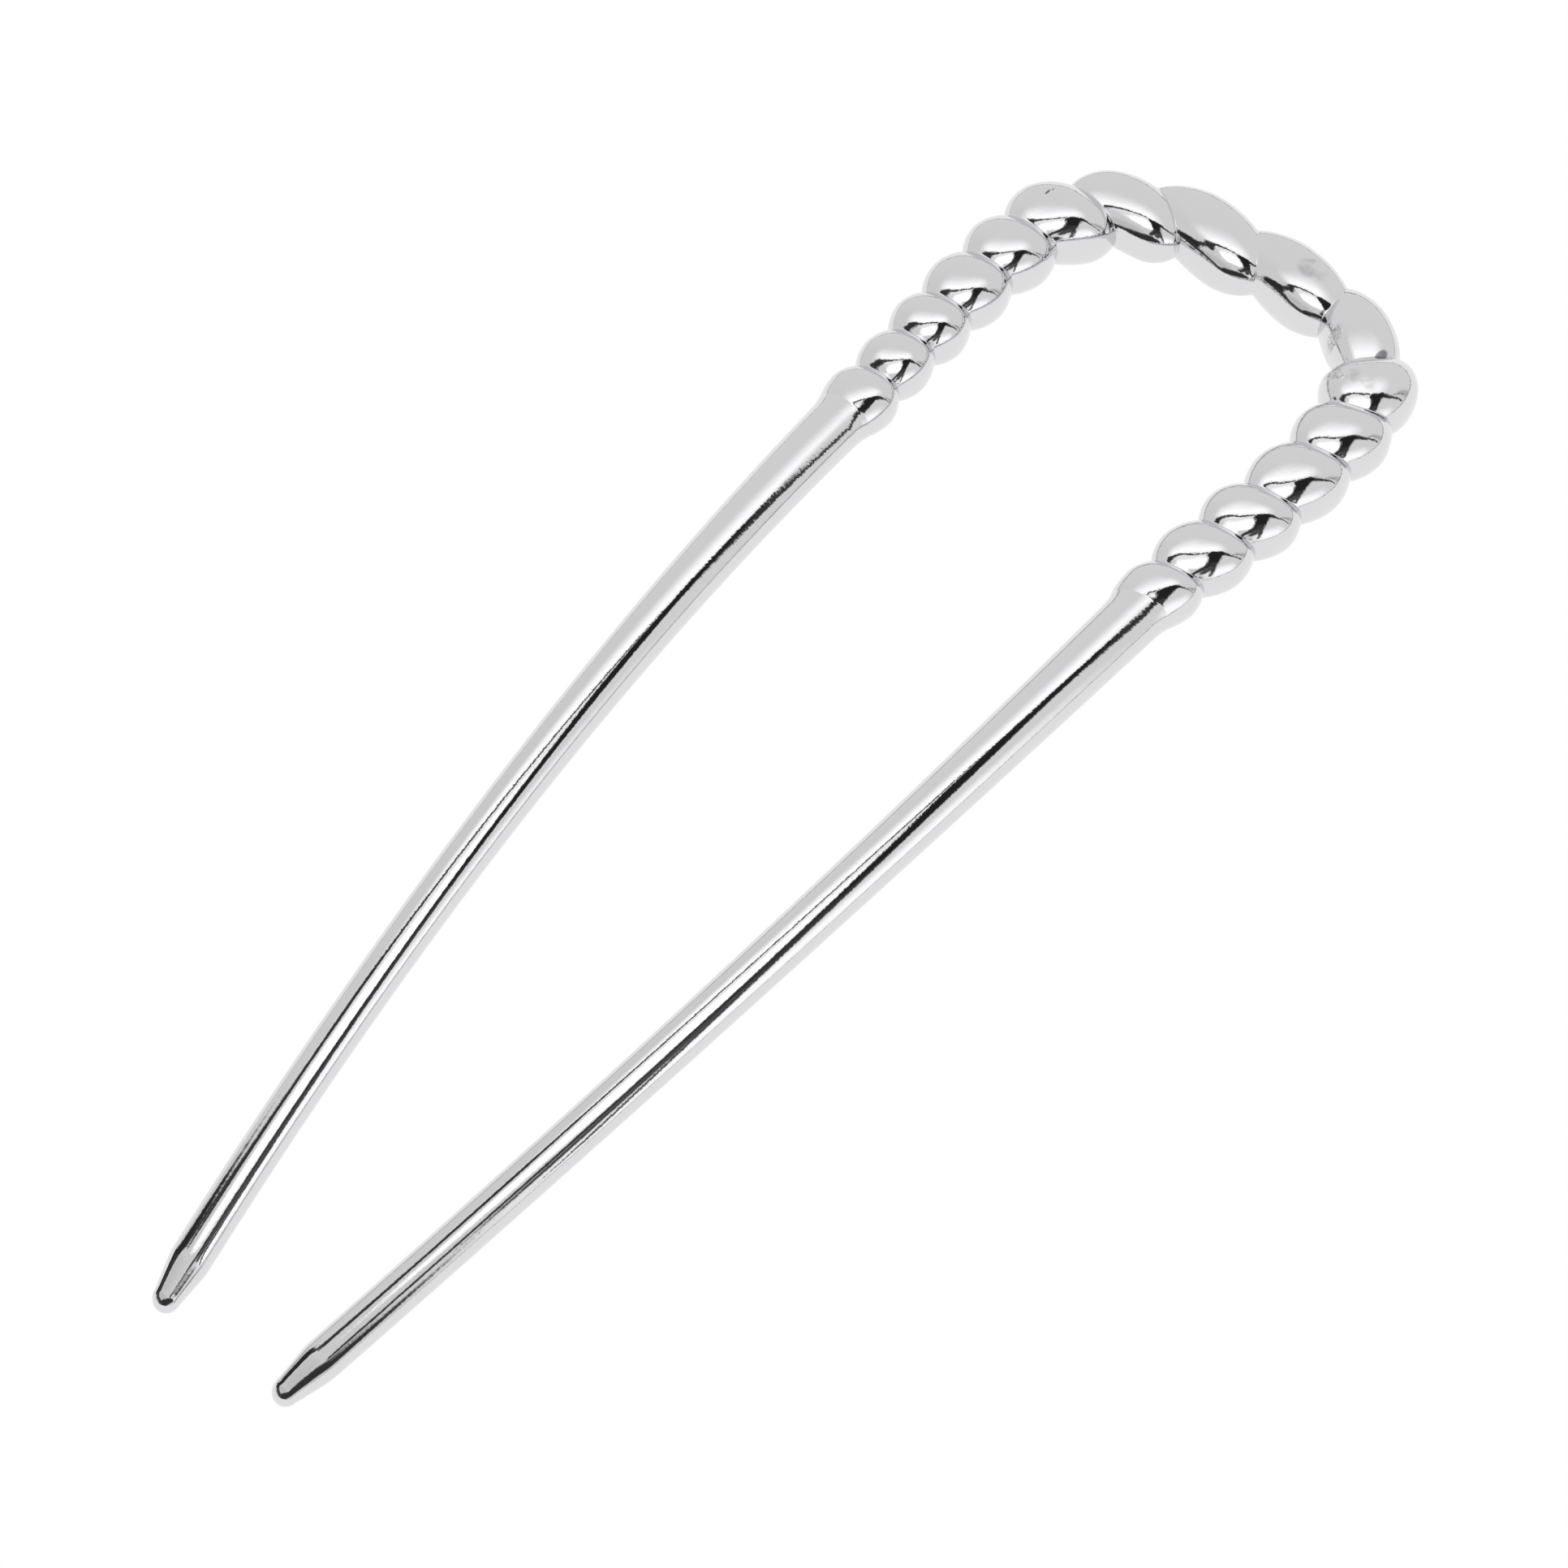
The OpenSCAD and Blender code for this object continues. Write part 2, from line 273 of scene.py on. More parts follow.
@dataclass
class Bow:
    """The arch of slanted beads between the two collars, sizes in mm.

    Attributes:
        course: The pin's centre line.
        collar_radius: Half of the pin's width at a collar, before the flare.
        collar_flare: How far the collar flares out from there on each side.
        collar_flatness: The share of its thickness that a prong has lost at its collar.
        crease_share: Width of a crease, as a share of that of the beads beside it.
        crease_thickness_share: Its thickness, as a share of theirs.
        thickness_share: Thickness of a bead, as a share of the mean width of it and its mirror.
        fullness: Power of the curve that a bead swells by, where a larger one is fuller.
        squareness: Power of the superellipse that a bead's rings are.
        squaring_length: How far into the bow the rings reach that power.
        shift: How far the row of beads is moved along the course.
        crease_round: How far from a crease its sharp bottom is filled.
        crease_fill: The share of the bead's slope that goes into the filling.
        steepest: The largest slope that counts for it.
        rings_per_bead: How many rings a bead has.
        packed_share: How much of their spacing is packed toward the creases.
    """

    course: Course
    collar_radius: float = 2.4
    collar_flare: float = 0.2
    collar_flatness: float = 0.1
    crease_share: float = 0.72
    crease_thickness_share: float = 0.66
    thickness_share: float = 0.82
    fullness: float = 1.8
    squareness: float = 2.4
    squaring_length: float = 2.5
    shift: float = 0.4
    crease_round: float = 0.07
    crease_fill: float = 0.6
    steepest: float = 1.2
    rings_per_bead: int = 40
    packed_share: float = 0.75

    def __post_init__(self) -> None:
        """Works out the beads' half sizes, and the place, slant and lean of each crease."""
        lengths = np.array([bead.length for bead in BEADS])
        widths = np.array([bead.width for bead in BEADS]) / 2
        slants = np.array([bead.slant for bead in BEADS], dtype=float)
        leans = np.array([bead.lean for bead in BEADS], dtype=float)
        scaled = lengths * self.course.bow_course / lengths.sum()
        start = self.course.collar_station + self.shift
        self.crease_station = start + np.concatenate([[0.0], np.cumsum(scaled)])
        self.half_width = widths
        self.half_thickness = self.thickness_share * (widths + widths[::-1]) / 2
        self.crease_slant = self.at_creases(slants, (slants[0], slants[-1]))
        self.crease_lean = self.at_creases(leans, (0.0, 0.0))

    @staticmethod
    def at_creases(beads: Array, ends: tuple[float, float], share: float = 1.0) -> Array:
        """A value at each crease: a share of the mean of the beads beside it, or its end's own."""
        return np.concatenate([ends[:1], share * (beads[1:] + beads[:-1]) / 2, ends[1:]])

    def swell(self, full: Array, crease: Array, bead: Array, share: Array) -> Array:
        """Half size of a bead along its length.

        It is full times the root of 1 - (1 - (crease / full)^2) |v|^fullness, where v runs from
        -1 to 1 along the bead. Near a crease the groove's sharp bottom is filled by a small amount
        that dies away with the distance d to the crease: (sqrt(d^2 + round^2) - d) times a share
        of the bead's slope there.

        Args:
            full: Half size at each bead's middle.
            crease: Half size at each crease.
            bead: The bead that each ring belongs to.
            share: How far along its bead each ring is, from 0 to 1.

        Returns:
            The half size of each ring.
        """
        v = 2 * share - 1
        nearest = np.where(v < 0, bead, bead + 1)
        drop = 1 - (crease[nearest] / full[bead]) ** 2
        plain = full[bead] * np.sqrt(1 - drop * np.abs(v) ** self.fullness)
        length = self.crease_station[bead + 1] - self.crease_station[bead]
        away = (1 - np.abs(v)) * length / 2
        steep = full[bead] ** 2 * drop * self.fullness / (crease[nearest] * length)
        soft = np.sqrt(away**2 + self.crease_round**2) - away
        return plain + soft * np.clip(steep, 0, self.steepest) * self.crease_fill

    def squareness_at(self, station: Array) -> Array:
        """Squareness of the rings: 2 at the collars, the beads' own a short way into the bow."""
        away = np.minimum(station - self.crease_station[0], self.crease_station[-1] - station)
        return 2 + (self.squareness - 2) * np.clip(away / self.squaring_length, 0, 1)

    def sections(self) -> Sections:
        """Rings of all the beads, packed closer together toward the creases.

        A bead's lean is all at its creases: it grows with the square of the v that swell speaks
        of, and its middle stays upright.
        """
        even = np.linspace(0, 1, self.rings_per_bead, endpoint=False)
        packed = (1 - np.cos(np.pi * even)) / 2
        share = np.tile((1 - self.packed_share) * even + self.packed_share * packed, len(BEADS))
        bead = np.repeat(np.arange(len(BEADS)), self.rings_per_bead)
        wide = self.collar_radius + self.collar_flare
        flat = self.collar_radius * (1 - self.collar_flatness)
        width = self.at_creases(self.half_width, (wide, wide), self.crease_share)
        thickness = self.at_creases(self.half_thickness, (flat, flat), self.crease_thickness_share)

        def between(ends: Array) -> Array:
            """A value at the two creases of each ring's bead, drawn straight between them."""
            return ends[bead] * (1 - share) + ends[bead + 1] * share

        station = between(self.crease_station)
        half_thickness = self.swell(self.half_thickness, thickness, bead, share)
        lean = np.tan(np.radians(between(self.crease_lean)))
        return Sections(
            station=station,
            half_width=self.swell(self.half_width, width, bead, share),
            half_thickness=half_thickness,
            slant=between(self.crease_slant),
            carried=half_thickness * lean * (2 * share - 1) ** 2,
            squareness=self.squareness_at(station),
        )


@dataclass
class Prong:
    """One bare leg of the pin with its pencil tip, sizes in mm.

    Attributes:
        side: Which end of the course it is at.
        length: From its tip to its collar, along the course.
        slant: How far its last ring is turned in plan, in degrees.
        full_length: The length that its taper and its flattening are spread over.
        collar_flatness: The share of its thickness that it has lost at its collar.
        collar_diameter: Its width at the collar, before the flare.
        tip_diameter: Its width at the tip, if it had no point.
        point_length: From the tip to the shoulder of the pencil point.
        nose_radius: Radius of the blunt end.
        shoulder_round: How far from the shoulder its edge is softened.
        shoulder_run: How far past the shoulder the point's closer rings go on.
        flare: How far it flares out at the collar on each side.
        flare_length: Over what length it does.
        turning_share: The share of its length over which its rings turn to the slant.
        nose_rings: How many rings the nose has.
        point_rings: How many the point has.
        shaft_rings: How many the shaft has.
        collar_rings: How many the flare has.
    """

    side: Side
    length: float
    slant: float
    full_length: float
    collar_flatness: float
    collar_diameter: float = 4.8
    tip_diameter: float = 3.1
    point_length: float = 3.9
    nose_radius: float = 1.05
    shoulder_round: float = 0.35
    shoulder_run: float = 1.2
    flare: float = 0.2
    flare_length: float = 1.6
    turning_share: float = 1 / 8
    nose_rings: int = 12
    point_rings: int = 21
    shaft_rings: int = 109
    collar_rings: int = 13

    def radius(self, d: Array) -> Array:
        """Radius of the prong at a distance from its tip.

        A round nose, then a cone, then a taper whose diameter grows with the square of the
        distance, with the shoulder between the last two softened.
        """
        growth = self.collar_diameter - self.tip_diameter
        shaft = (self.tip_diameter + growth * (d / self.full_length) ** 2) / 2
        shoulder = np.interp(self.point_length, d, shaft)
        rise, run = shoulder - self.nose_radius, self.point_length - self.nose_radius
        cone = self.nose_radius + rise * (d - self.nose_radius) / run
        soft = self.shoulder_round * rise / run
        body = (cone + shaft - np.sqrt((cone - shaft) ** 2 + soft**2)) / 2
        short = np.clip(self.nose_radius - d, 0, None)
        nose = np.sqrt(np.clip(self.nose_radius**2 - short**2, 0, None))
        return np.where(d < self.nose_radius, nose, body)

    @staticmethod
    def past(start: float, stop: float, count: int) -> Array:
        """Some evenly spaced values after the start, the last of them the stop."""
        return np.linspace(start, stop, count + 1)[1:]

    def sections(self, total: float) -> Sections:
        """Rings of the prong in order along the course, round at the tip and flatter at the collar.

        The last bit before the collar flares sideways, with the square of how far into it a
        ring is.

        Args:
            total: Length of the whole course in mm, from which a right prong is measured back.

        Returns:
            The rings, from the tip on the left and to the tip on the right. The one that the prong
            shares with its first bead is left to the bow on the left and kept here on the right.
        """
        shoulder = self.point_length + self.shoulder_run
        flare_from = self.length - self.flare_length
        nose = self.nose_radius * (1 - np.cos(self.past(0, np.pi / 2, self.nose_rings)))
        point = self.past(self.nose_radius, shoulder, self.point_rings)
        shaft = self.past(shoulder, flare_from, self.shaft_rings)
        collar = self.past(flare_from, self.length, self.collar_rings)
        d = np.concatenate([nose, point, shaft, collar])
        if self.side is Side.LEFT:
            d = d[:-1]
        radius = self.radius(d)
        height = radius * (1 - self.collar_flatness * np.clip(d / self.full_length, 0, 1))
        left = self.length - d
        width = radius + self.flare * np.clip(1 - left / self.flare_length, 0, 1) ** 2
        turned = self.slant * np.clip(1 - left / (self.turning_share * self.length), 0, 1)
        still, ellipse = np.zeros_like(d), np.full_like(d, 2.0)
        if self.side is Side.LEFT:
            return Sections(d, width, height, turned, still, ellipse)
        return Sections(total - d[::-1], width[::-1], height[::-1], turned[::-1], still, ellipse)


@dataclass
class Hairpin:
    """The whole pin as one skin, from the left tip over the bow to the right tip.

    Attributes:
        course: Its centre line.
        sides: How many places each ring has.
    """

    course: Course = field(default_factory=Course)
    sides: int = 96

    def __post_init__(self) -> None:
        """Sets the two prongs against the ends of the bow."""
        self.bow = Bow(self.course)
        creases, slants = self.bow.crease_station, self.bow.crease_slant
        shared = (self.course.prong_length, self.bow.collar_flatness)
        self.left = Prong(Side.LEFT, float(creases[0]), float(slants[0]), *shared)
        right_length = float(self.course.length - creases[-1])
        self.right = Prong(Side.RIGHT, right_length, float(slants[-1]), *shared)

    def sections(self) -> Sections:
        """Every ring of the pin in order."""
        total = self.course.length
        parts = [self.left.sections(total), self.bow.sections(), self.right.sections(total)]
        return Sections.joined(parts)

    def grid(self) -> Array:
        """Points of the skin in mm, as rings by places round each ring.

        A point is at an angle round its ring: out is the half width times the cosine, and its
        height above the centre line is the half thickness times the sine, with the sine and the
        cosine both raised to the power 2 / squareness. The ring's slant moves it along the course
        by out times the tangent of the slant, the carried length moves it on by its share of the
        raised sine squared, and it lies out to the left of the course from there.
        """
        rings = self.sections()
        turn = np.linspace(0, 2 * np.pi, self.sides, endpoint=False)
        power = 2 / rings.squareness[:, None]
        waves = (np.cos(turn), np.sin(turn))
        across, up = (np.sign(wave) * np.abs(wave) ** power for wave in waves)
        out = rings.half_width[:, None] * across
        slanted = out * np.tan(np.radians(rings.slant))[:, None]
        station = rings.station[:, None] + slanted + rings.carried[:, None] * up**2
        point, way = self.course.at(station)
        plan = point + out[..., None] * Course.left_of(way)
        height = self.course.height(point[..., 1]) + rings.half_thickness[:, None] * up
        return np.concatenate([plan, height[..., None]], axis=-1)

    def tips(self) -> Array:
        """The two end points of the skin in mm."""
        point, _ = self.course.at(np.array([0.0, self.course.length]))
        return np.concatenate([point, self.course.height(point[:, 1])[:, None]], axis=1)

    def faces(self, rings: int) -> tuple[Array, Array]:
        """Corner numbers of the skin's faces, facing outward.

        Args:
            rings: How many rings the skin has.

        Returns:
            The four-sided faces between the rings, and the three-sided ones that close the tips.
        """
        ring, place = np.meshgrid(np.arange(rings - 1), np.arange(self.sides), indexing="ij")
        here, there = ring * self.sides, (ring + 1) * self.sides
        after = (place + 1) % self.sides
        corners = [here + place, here + after, there + after, there + place]
        quads = np.stack(corners, axis=-1).reshape(-1, 4)
        place = np.arange(self.sides)
        after = (place + 1) % self.sides
        first, last, end = rings * self.sides, rings * self.sides + 1, (rings - 1) * self.sides
        near = np.stack([np.full_like(place, first), after, place], axis=1)
        far = np.stack([np.full_like(place, last), end + place, end + after], axis=1)
        return quads, np.concatenate([near, far])

    def build(self, low: Vector, high: Vector) -> bpy.types.Object:
        """Makes the skin as a mesh object whose box is centred on the solid's own box.

        Args:
            low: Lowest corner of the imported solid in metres.
            high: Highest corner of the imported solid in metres.

        Returns:
            The new object, smooth shaded.
        """
        grid = self.grid()
        points = np.concatenate([grid.reshape(-1, 3), self.tips()])
        middle = (points.min(axis=0) + points.max(axis=0)) / 2
        solid_middle = np.array((low + high) / 2) / MM
        points = (points - middle + solid_middle) * MM
        quads, fans = self.faces(len(grid))
        corners = np.concatenate([quads.ravel(), fans.ravel()]).astype(np.int32)
        sizes = np.concatenate([np.full(len(quads), 4), np.full(len(fans), 3)])
        starts = np.concatenate([[0], np.cumsum(sizes)[:-1]]).astype(np.int32)
        mesh = bpy.data.meshes.new("plated_pin")
        mesh.vertices.add(len(points))
        mesh.vertices.foreach_set("co", points.astype(np.float32).ravel())
        mesh.loops.add(len(corners))
        mesh.loops.foreach_set("vertex_index", corners)
        mesh.polygons.add(len(sizes))
        mesh.polygons.foreach_set("loop_start", starts)
        mesh.polygons.foreach_set("use_smooth", np.ones(len(sizes), dtype=bool))
        mesh.update(calc_edges=True)
        mesh.validate()
        piece = bpy.data.objects.new("plated_pin", mesh)
        bpy.context.scene.collection.objects.link(piece)
        return piece


Value = Union["Signal", int, float]


@dataclass
class Signal:
    """One output socket of a node, with arithmetic that adds Math nodes.

    Attributes:
        shop: What adds nodes to the node's tree.
        socket: The socket, or None for a node that has no output.
    """

    shop: "NodeShop"
    socket: bpy.types.NodeSocket | None

    def maths(self, operation: str, *values: Value) -> "Signal":
        """A Math node of one operation on some values."""
        return self.shop.add("ShaderNodeMath", {"operation": operation}, dict(enumerate(values)))

    def __add__(self, other: Value) -> "Signal":
        """self + other."""
        return self.maths("ADD", self, other)

    def __radd__(self, other: Value) -> "Signal":
        """other + self."""
        return self.maths("ADD", other, self)

    def __sub__(self, other: Value) -> "Signal":
        """self - other."""
        return self.maths("SUBTRACT", self, other)

    def __rsub__(self, other: Value) -> "Signal":
        """other - self."""
        return self.maths("SUBTRACT", other, self)

    def __mul__(self, other: Value) -> "Signal":
        """self * other."""
        return self.maths("MULTIPLY", self, other)

    def __rmul__(self, other: Value) -> "Signal":
        """other * self."""
        return self.maths("MULTIPLY", other, self)

    def __truediv__(self, other: Value) -> "Signal":
        """self / other."""
        return self.maths("DIVIDE", self, other)

    def clamped(self) -> "Signal":
        """The value held between 0 and 1."""
        return self.maths("MAXIMUM", self.maths("MINIMUM", self, 1.0), 0.0)

    def eased(self) -> "Signal":
        """A straight step from 0 to 1 with its ends rounded."""
        return self * self * (3.0 - 2.0 * self)

    def root(self) -> "Signal":
        """The square root."""
        return self.maths("SQRT", self)


class NodeShop:
    """Adds nodes to one node tree."""

    def __init__(self, tree: bpy.types.NodeTree) -> None:
        """Starts on a tree, whose nodes are cleared."""
        self.tree = tree
        self.tree.nodes.clear()

    def add(
        self,
        kind: str,
        settings: dict[str, Any] | None = None,
        values: dict[Any, Any] | None = None,
        output: Any = 0,
    ) -> Signal:
        """Adds one node.

        Args:
            kind: The node's type name.
            settings: Its properties, set first.
            values: Values or signals for its input sockets, by name or number.
            output: The output socket that is wanted, by name or number.

        Returns:
            That output.
        """
        node = self.tree.nodes.new(kind)
        for name, value in (settings or {}).items():
            setattr(node, name, value)
        for name, value in (values or {}).items():
            if isinstance(value, Signal):
                self.tree.links.new(value.socket, node.inputs[name])
            else:
                node.inputs[name].default_value = value
        return Signal(self, node.outputs[output] if len(node.outputs) else None)

    def object_place(self) -> tuple[Signal, list[Signal]]:
        """A point's place in its piece's Object coordinates: as a vector, and as x, y and z."""
        vector = self.add("ShaderNodeTexCoord", output="Object")
        split = self.add("ShaderNodeSeparateXYZ", values={"Vector": vector})
        return vector, [Signal(self, socket) for socket in split.socket.node.outputs]


@dataclass(frozen=True)
class PlatingMark:
    """A mark on the plating round one place, seen from above, sizes in mm. Most are blemishes; one
    is a dark reflection painted into the colour.

    Attributes:
        name: What it is.
        place: Its middle along x and y.
        reach: How far it reaches from there along x and y.
        bubbles: How high the tiny bubbles in it stand.
        stain_and_shade: How far its colour is darkened, by real staining, and on the painted
            reflection by painted shade.
        even: Whether its darkening is even, and not mottled.
        above: The height that it fades out at, so that the underside stays clean.
        steepness: How steeply it falls off toward its edge.
    """

    name: str
    place: tuple[float, float]
    reach: tuple[float, float]
    bubbles: float = 0.0
    stain_and_shade: float = 0.0
    even: bool = False
    above: float = 4.0
    steepness: float = 2.0

    def mask(self, x: Signal, y: Signal, z: Signal) -> Signal:
        """1 in the mark's middle, falling to 0 at its edge, an ellipse, and at the height above."""
        across, along = (x - self.place[0]) / self.reach[0], (y - self.place[1]) / self.reach[1]
        inside = ((1.0 - across * across - along * along) * self.steepness).clamped()
        return inside * (z - self.above).clamped()


@dataclass(frozen=True)
class ChromePlate:
    """Bright chrome with the faint ripple that the moulding under it leaves, a few blemishes, and
    one painted dark reflection.

    A pattern's scale says how fine it is, as so many to the metre.

    Attributes:
        colour: Colour of the clean chrome.
        stained_and_shaded: Its darkest colour, that of full staining and of the painted
            reflection's middle.
        roughness: How much it blurs what it mirrors.
        ripple_scale: Scale of the ripple.
        ripple: Its height in mm.
        grain_scale: Scale of the fine grain.
        grain: Its height in mm.
        noise_detail: How many finer octaves the ripple, the grain and the mottles have.
        bubble_scale: Scale of the tiny bubbles in a flaw.
        bubble_sharpness: How small each bubble is in its cell.
        mottle_scale: Scale of the mottles in an uneven darkening.
        mottle_from: The noise at which a mottle starts.
        mottle_contrast: How quickly it darkens from there.
        marks: The blemishes, and the painted dark reflection.
    """

    colour: Colour = (0.72, 0.72, 0.73)
    stained_and_shaded: Colour = (0.12, 0.12, 0.125)
    roughness: float = 0.045
    ripple_scale: float = 700.0
    ripple: float = 0.009
    grain_scale: float = 3200.0
    grain: float = 0.005
    noise_detail: float = 2.0
    bubble_scale: float = 3800.0
    bubble_sharpness: float = 3.0
    mottle_scale: float = 900.0
    mottle_from: float = 0.4
    mottle_contrast: float = 4.0
    marks: tuple[PlatingMark, ...] = (
        PlatingMark("nick", place=(-16.8, 54.2), reach=(0.12, 0.4), bubbles=0.02, stain_and_shade=0.9, even=True),
        PlatingMark("nick's end", place=(-16.65, 54.75), reach=(0.08, 0.2), stain_and_shade=0.7, even=True),
        PlatingMark("mottles", place=(4.7, 62.4), reach=(1.5, 1.3), bubbles=0.004, stain_and_shade=0.32),
        PlatingMark("mottles", place=(14.9, 53.9), reach=(1.8, 0.8), bubbles=0.004, stain_and_shade=0.28),
        # Painted reflection: a dark grey patch painted into the chrome's colour where the chrome
        # mirrors something dark; it is painted shade, not a mark on the plating.
        PlatingMark("smudge", place=(14.35, 58.1), reach=(0.45, 0.9), stain_and_shade=0.8, even=True),
        PlatingMark("bubbles", place=(9.9, 57.6), reach=(0.6, 1.5), bubbles=0.06, stain_and_shade=0.3, above=3.4),
        PlatingMark("bubbles", place=(12.8, 53.5), reach=(1.0, 0.6), bubbles=0.06, stain_and_shade=0.3),
    )

    def material(self) -> bpy.types.Material:
        """Builds the material, whose patterns lie on Object coordinates."""
        material = bpy.data.materials.new("chrome_plate")
        material.use_nodes = True
        shop = NodeShop(material.node_tree)
        place, metres = shop.object_place()
        x, y, z = (along / MM for along in metres)

        def noise(scale: float) -> Signal:
            """Cloudy noise of one size."""
            values = {"Vector": place, "Scale": scale, "Detail": self.noise_detail}
            return shop.add("ShaderNodeTexNoise", values=values, output="Fac")

        values = {"Vector": place, "Scale": self.bubble_scale}
        cells = shop.add("ShaderNodeTexVoronoi", values=values, output="Distance")
        bubble = (1.0 - cells * cells * self.bubble_sharpness).clamped()
        mottle = ((noise(self.mottle_scale) - self.mottle_from) * self.mottle_contrast).clamped()
        height = noise(self.ripple_scale) * self.ripple + noise(self.grain_scale) * self.grain
        stain_and_shade: Value = 0.0
        for mark in self.marks:
            log.info("%s at %s", mark.name, mark.place)
            inside = mark.mask(x, y, z)
            if mark.bubbles:
                height = height + inside * bubble * mark.bubbles
            # Darkens the colour: real stains, and on the painted reflection, painted shade.
            if mark.stain_and_shade:
                stain_and_shade = inside * mark.stain_and_shade * (1.0 if mark.even else mottle) + stain_and_shade
        colours = {0: stain_and_shade, 6: (*self.colour, 1.0), 7: (*self.stained_and_shaded, 1.0)}
        colour = shop.add("ShaderNodeMix", {"data_type": "RGBA"}, colours, output=2)
        values = {"Height": height, "Distance": MM, "Strength": 1.0}
        bump = shop.add("ShaderNodeBump", values=values, output="Normal")
        values = {"Base Color": colour, "Metallic": 1.0, "Roughness": self.roughness}
        surface = shop.add("ShaderNodeBsdfPrincipled", values={**values, "Normal": bump})
        shop.add("ShaderNodeOutputMaterial", values={"Surface": surface})
        return material


@dataclass(frozen=True)
class Viewpoint:
    """Where the photograph was taken from: sizes in mm, angles in degrees.

    Attributes:
        aim: The place on the table at the middle of the picture.
        azimuth: How far the picture's right is turned from +X toward +Y.
        elevation: The camera's angle above the table.
        distance: From the camera to its aim.
        lens: Its focal length.
        sensor: The width of its sensor.
        clip: The nearest and the farthest that it sees.
    """

    aim: tuple[float, float] = (0.16, -2.253)
    azimuth: float = 38.744
    elevation: float = 56.281
    distance: float = 303.07
    lens: float = 89.622
    sensor: float = 36.0
    clip: tuple[float, float] = (10.0, 20000.0)

    def directions(self) -> tuple[Vector, Vector, Vector]:
        """Unit vectors to the right and the top of the picture, and the way the camera looks."""
        turn, tilt = math.radians(self.azimuth), math.radians(self.elevation)
        level = Vector((-math.sin(turn), math.cos(turn), 0))
        look = level * math.cos(tilt) - Vector((0, 0, math.sin(tilt)))
        right = Vector((math.cos(turn), math.sin(turn), 0))
        return right, right.cross(look), look

    def place(self) -> bpy.types.Object:
        """Makes the camera and gives it to the scene."""
        right, up, look = self.directions()
        data = bpy.data.cameras.new("camera")
        data.sensor_fit = "HORIZONTAL"
        data.sensor_width = self.sensor
        data.lens = self.lens
        data.clip_start, data.clip_end = (limit * MM for limit in self.clip)
        camera = bpy.data.objects.new("camera", data)
        turned = Matrix((right, up, -look)).transposed().to_4x4()
        aim = Vector((self.aim[0] * MM, self.aim[1] * MM, 0))
        camera.matrix_world = Matrix.Translation(aim - look * self.distance * MM) @ turned
        bpy.context.scene.collection.objects.link(camera)
        bpy.context.scene.camera = camera
        return camera


@dataclass(frozen=True)
class Stroke:
    """A soft-edged stroke of light or shade on the wall of the light tent.

    Its places are on a round map of the tent as the pin sees it: straight up is (0, 0), the
    horizon is one unit away from it, +x is the picture's right and +y is away from the camera.

    Attributes:
        start: Where its middle line starts.
        end: Where its middle line ends.
        reach: Half of its width at its start and at its end.
        soft: Width of its soft edge.
        glow: How bright it is, where 1 is the table's white.
    """

    start: tuple[float, float]
    end: tuple[float, float]
    reach: tuple[float, float]
    soft: float
    glow: float

    def mask(self, across: Signal, along: Signal) -> Signal:
        """How much of the stroke covers each place, from its distance to the middle line.

        Args:
            across: The map's x at the place.
            along: The map's y at the place.

        Returns:
            1 inside, 0 outside and an eased step between them.
        """
        (x, y), (far_x, far_y) = self.start, self.end
        dx, dy = far_x - x, far_y - y
        run = dx * dx + dy * dy or 1.0
        share = ((across - x) * (dx / run) + (along - y) * (dy / run)).clamped()
        off_x, off_y = across - share * dx - x, along - share * dy - y
        width = share * (self.reach[1] - self.reach[0]) + self.reach[0]
        off = (off_x * off_x + off_y * off_y).root()
        return ((width - off) / self.soft + 0.5).clamped().eased()


